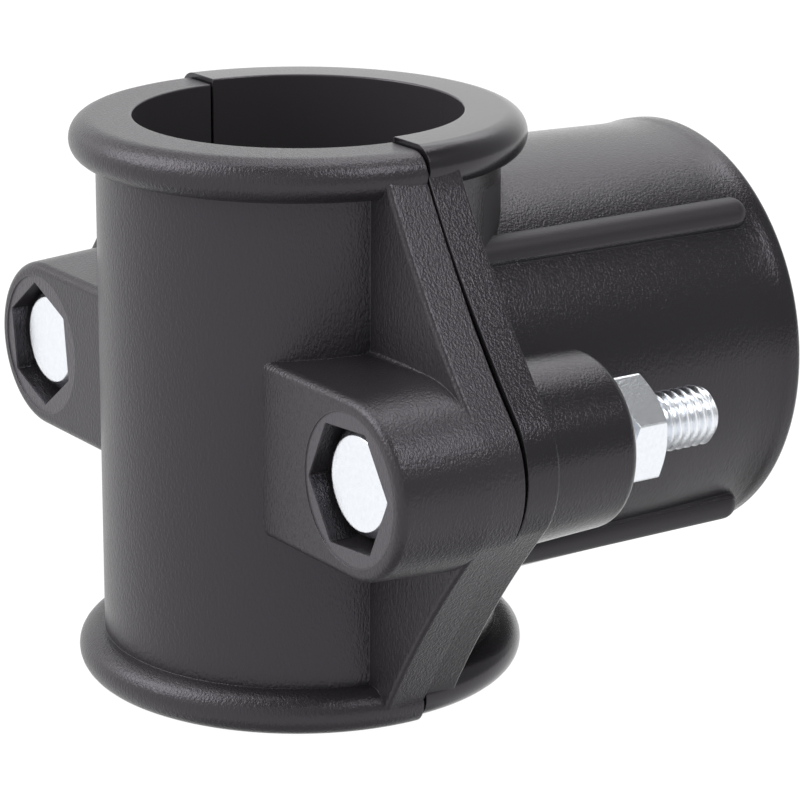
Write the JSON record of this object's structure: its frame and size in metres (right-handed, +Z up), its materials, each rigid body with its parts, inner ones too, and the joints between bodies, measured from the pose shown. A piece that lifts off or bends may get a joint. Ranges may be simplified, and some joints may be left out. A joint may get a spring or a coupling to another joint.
{
  "type": "tapping saddle",
  "caption": "Two-part clamp saddle in black plastic for tapping a threaded branch off a pipe, closed by two hexagon bolts with washers and nuts.",
  "frame": {"origin": "where the run axis crosses the branch axis, at mid-height of the rear half", "axes": "+Z up along the run pipe, +Y out of the branch socket, +X towards the right-hand bolt seen from the cap"},
  "size_m": [0.0758, 0.0686, 0.0566],
  "materials": {
    "body_plastic": "fine moulded grain",
    "zinc_steel": "bright zinc plate",
    "seal_rubber": "matt"
  },
  "bodies": {
    "saddle": {"saddle_body": "body_plastic", "branch_seal": "seal_rubber", "washer_right": "zinc_steel", "washer_left": "zinc_steel"},
    "cap": {"clamp_cap": "body_plastic", "bolt_right": "zinc_steel", "bolt_left": "zinc_steel"},
    "nut_right": {"nut_right": "zinc_steel"},
    "nut_left": {"nut_left": "zinc_steel"}
  },
  "joints": [
    {"name": "nut_right_spin", "type": "hinge", "parent": "saddle", "child": "nut_right", "pos_m": [0.0288, 0.015, -0.0001], "axis": [0, 1, 0], "range_deg": [0, 2520]},
    {"name": "nut_left_spin", "type": "hinge", "parent": "saddle", "child": "nut_left", "pos_m": [-0.0288, 0.015, -0.0001], "axis": [0, 1, 0], "range_deg": [0, 2520]},
    {"name": "cap_opening", "type": "slide", "parent": "saddle", "child": "cap", "axis": [0, -1, 0], "range_m": [0, 0.007]}
  ],
  "couplings": [
    {"joint": "nut_right_spin", "follows": "cap_opening", "rad_per_m": 6283.2},
    {"joint": "nut_left_spin", "follows": "cap_opening", "rad_per_m": 6283.2}
  ]
}
